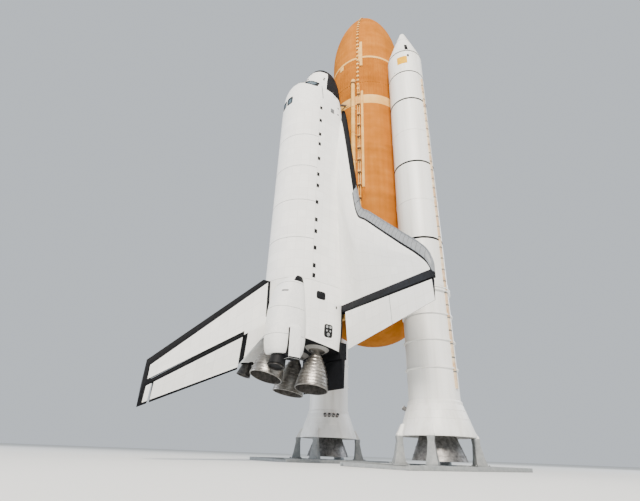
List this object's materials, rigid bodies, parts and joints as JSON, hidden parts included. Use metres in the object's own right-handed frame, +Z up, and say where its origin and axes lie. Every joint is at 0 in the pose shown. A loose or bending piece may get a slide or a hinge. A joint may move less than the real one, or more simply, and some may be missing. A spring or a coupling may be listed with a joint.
{
  "type": "space shuttle stack with orbiter, external tank and two solid boosters, scale model at 1:2",
  "caption": "Winged spaceplane mounted on an orange propellant tank between white strap-on boosters, standing upright on hold-down posts, with bay doors and control surfaces that move.",
  "frame": {"origin": "on the floor under the middle of the bounding box", "axes": "+Z up along the tank to the noses, +Y from the orbiter towards the tank, +X towards the orbiter's starboard wing"},
  "size_m": [11.8948, 12.7534, 28.3146],
  "materials": {
    "foam": "matte sprayed foam",
    "pale_foam": "matte sprayed foam over fittings",
    "white_paint": "satin white paint",
    "white_blanket": "quilted ceramic blanket and white tile",
    "black_tile": "black glass-coated ceramic tile",
    "grey_carbon": "reinforced carbon",
    "window_glass": "dark glass",
    "nozzle_metal": "heat-tinted tube wall",
    "dark_metal": "dark metal",
    "grey_paint": "grey primer"
  },
  "bodies": {
    "stack": {"tank_nose_cone": "pale_foam", "oxygen_tank": "foam", "intertank": "foam", "hydrogen_tank": "foam", "oxygen_feedline": "pale_foam", "hydrogen_umbilical": "pale_foam", "oxygen_tank_tray": "pale_foam", "hydrogen_tank_tray": "pale_foam", "forward_bipod": "pale_foam", "aft_attach_frame": "pale_foam", "nose_cap": "grey_carbon", "forward_fuselage": "white_blanket", "windshield_glass": "window_glass", "overhead_glass": "window_glass", "mid_fuselage": "white_blanket", "aft_fuselage": "white_blanket", "fin": "white_blanket", "wing_starboard": "white_blanket", "wing_leading_edge_starboard": "grey_carbon", "pod_starboard": "white_blanket", "pod_engine_starboard": "dark_metal", "booster_nose_starboard": "white_paint", "booster_forward_skirt_starboard": "white_paint", "booster_motor_starboard": "white_paint", "booster_attach_ring_starboard": "white_paint", "booster_aft_skirt_starboard": "white_paint", "holddown_stand_starboard": "grey_paint", "wing_port": "white_blanket", "wing_leading_edge_port": "grey_carbon", "pod_port": "white_blanket", "pod_engine_port": "dark_metal", "booster_nose_port": "white_paint", "booster_forward_skirt_port": "white_paint", "booster_motor_port": "white_paint", "booster_attach_ring_port": "white_paint", "booster_aft_skirt_port": "white_paint", "holddown_stand_port": "grey_paint"},
    "rudder_tube": {"rudder_hinge_tube": "dark_metal"},
    "body_flap": {"body_flap": "black_tile"},
    "crew_hatch": {"crew_hatch": "white_blanket"},
    "rudder_panel_starboard": {"rudder_panel_starboard": "white_blanket"},
    "rudder_panel_port": {"rudder_panel_port": "white_blanket"},
    "elevon_inboard_starboard": {"elevon_inboard_starboard": "white_blanket"},
    "elevon_outboard_starboard": {"elevon_outboard_starboard": "white_blanket"},
    "elevon_inboard_port": {"elevon_inboard_port": "white_blanket"},
    "elevon_outboard_port": {"elevon_outboard_port": "white_blanket"},
    "bay_door_starboard": {"bay_door_starboard": "white_blanket"},
    "bay_door_port": {"bay_door_port": "white_blanket"},
    "engine_joint_upper": {"engine_joint_upper": "dark_metal"},
    "main_engine_upper": {"main_engine_upper": "nozzle_metal"},
    "engine_joint_starboard": {"engine_joint_starboard": "dark_metal"},
    "main_engine_starboard": {"main_engine_starboard": "nozzle_metal"},
    "engine_joint_port": {"engine_joint_port": "dark_metal"},
    "main_engine_port": {"main_engine_port": "nozzle_metal"},
    "booster_joint_starboard": {"booster_joint_starboard": "dark_metal"},
    "booster_nozzle_starboard": {"booster_nozzle_starboard": "dark_metal"},
    "booster_joint_port": {"booster_joint_port": "dark_metal"},
    "booster_nozzle_port": {"booster_nozzle_port": "dark_metal"}
  },
  "joints": [
    {"name": "body_flap_hinge", "type": "hinge", "parent": "stack", "child": "body_flap", "pos_m": [0, 0.37592, 3.5433], "axis": [1, 0, 0], "range_deg": [-11.7, 22.55]},
    {"name": "rudder_hinge", "type": "hinge", "parent": "stack", "child": "rudder_tube", "pos_m": [0, -3.31978, 4.0513], "axis": [0, -0.8231, -0.5679], "range_deg": [-22.8, 22.8]},
    {"name": "speed_brake_starboard", "type": "hinge", "parent": "rudder_tube", "child": "rudder_panel_starboard", "pos_m": [0, -3.31978, 4.0513], "axis": [0, -0.8231, -0.5679], "range_deg": [0, 49.3]},
    {"name": "speed_brake_port", "type": "hinge", "parent": "rudder_tube", "child": "rudder_panel_port", "pos_m": [0, -3.31978, 4.0513], "axis": [0, 0.8231, 0.5679], "range_deg": [0, 49.3]},
    {"name": "elevon_inboard_starboard_hinge", "type": "hinge", "parent": "stack", "child": "elevon_inboard_starboard", "pos_m": [1.3335, 0.43942, 5.3848], "axis": [0.9992, -0.0391, 0], "range_deg": [-33.5, 18]},
    {"name": "elevon_outboard_starboard_hinge", "type": "hinge", "parent": "stack", "child": "elevon_outboard_starboard", "pos_m": [1.3335, 0.43942, 5.3848], "axis": [0.9992, -0.0391, 0], "range_deg": [-33.5, 18]},
    {"name": "elevon_inboard_port_hinge", "type": "hinge", "parent": "stack", "child": "elevon_inboard_port", "pos_m": [-1.3335, 0.43942, 5.3848], "axis": [0.9992, 0.0391, 0], "range_deg": [-33.5, 18]},
    {"name": "elevon_outboard_port_hinge", "type": "hinge", "parent": "stack", "child": "elevon_outboard_port", "pos_m": [-1.3335, 0.43942, 5.3848], "axis": [0.9992, 0.0391, 0], "range_deg": [-33.5, 18]},
    {"name": "bay_door_starboard_hinge", "type": "hinge", "parent": "stack", "child": "bay_door_starboard", "pos_m": [1.3335, -1.24968, 11.0109], "axis": [0, 0, 1], "range_deg": [0, 175.5]},
    {"name": "bay_door_port_hinge", "type": "hinge", "parent": "stack", "child": "bay_door_port", "pos_m": [-1.3335, -1.24968, 11.0109], "axis": [0, 0, -1], "range_deg": [0, 175.5]},
    {"name": "crew_hatch_hinge", "type": "hinge", "parent": "stack", "child": "crew_hatch", "pos_m": [-1.28778, -0.22733, 16.6116], "axis": [0, 0, -1], "range_deg": [0, 90]},
    {"name": "engine_yaw_upper", "type": "hinge", "parent": "stack", "child": "engine_joint_upper", "pos_m": [0, -1.64338, 4.6482], "axis": [0, 0.9613, -0.2756], "range_deg": [-8.5, 8.5]},
    {"name": "engine_pitch_upper", "type": "hinge", "parent": "engine_joint_upper", "child": "main_engine_upper", "pos_m": [0, -1.64338, 4.6482], "axis": [1, 0, 0], "range_deg": [-10.5, 10.5]},
    {"name": "engine_yaw_starboard", "type": "hinge", "parent": "stack", "child": "engine_joint_starboard", "pos_m": [0.6731, -0.3683, 4.3561], "axis": [0.0107, 0.9849, -0.173], "range_deg": [-8.5, 8.5]},
    {"name": "engine_pitch_starboard", "type": "hinge", "parent": "engine_joint_starboard", "child": "main_engine_starboard", "pos_m": [0.6731, -0.3683, 4.3561], "axis": [0.9981, 0, 0.062], "range_deg": [-10.5, 10.5]},
    {"name": "engine_yaw_port", "type": "hinge", "parent": "stack", "child": "engine_joint_port", "pos_m": [-0.6731, -0.3683, 4.3561], "axis": [-0.0107, 0.9849, -0.173], "range_deg": [-8.5, 8.5]},
    {"name": "engine_pitch_port", "type": "hinge", "parent": "engine_joint_port", "child": "main_engine_port", "pos_m": [-0.6731, -0.3683, 4.3561], "axis": [0.9981, 0, -0.062], "range_deg": [-10.5, 10.5]},
    {"name": "booster_rock_starboard", "type": "hinge", "parent": "stack", "child": "booster_joint_starboard", "pos_m": [3.18135, 3.17627, 2.0193], "axis": [0.7071, 0.7071, 0], "range_deg": [-8, 8]},
    {"name": "booster_tilt_starboard", "type": "hinge", "parent": "booster_joint_starboard", "child": "booster_nozzle_starboard", "pos_m": [3.18135, 3.17627, 2.0193], "axis": [-0.7071, 0.7071, 0], "range_deg": [-8, 8]},
    {"name": "booster_rock_port", "type": "hinge", "parent": "stack", "child": "booster_joint_port", "pos_m": [-3.18135, 3.17627, 2.0193], "axis": [0.7071, 0.7071, 0], "range_deg": [-8, 8]},
    {"name": "booster_tilt_port", "type": "hinge", "parent": "booster_joint_port", "child": "booster_nozzle_port", "pos_m": [-3.18135, 3.17627, 2.0193], "axis": [-0.7071, 0.7071, 0], "range_deg": [-8, 8]}
  ],
  "couplings": [
    {"joint": "speed_brake_port", "follows": "speed_brake_starboard", "ratio": 1}
  ]
}
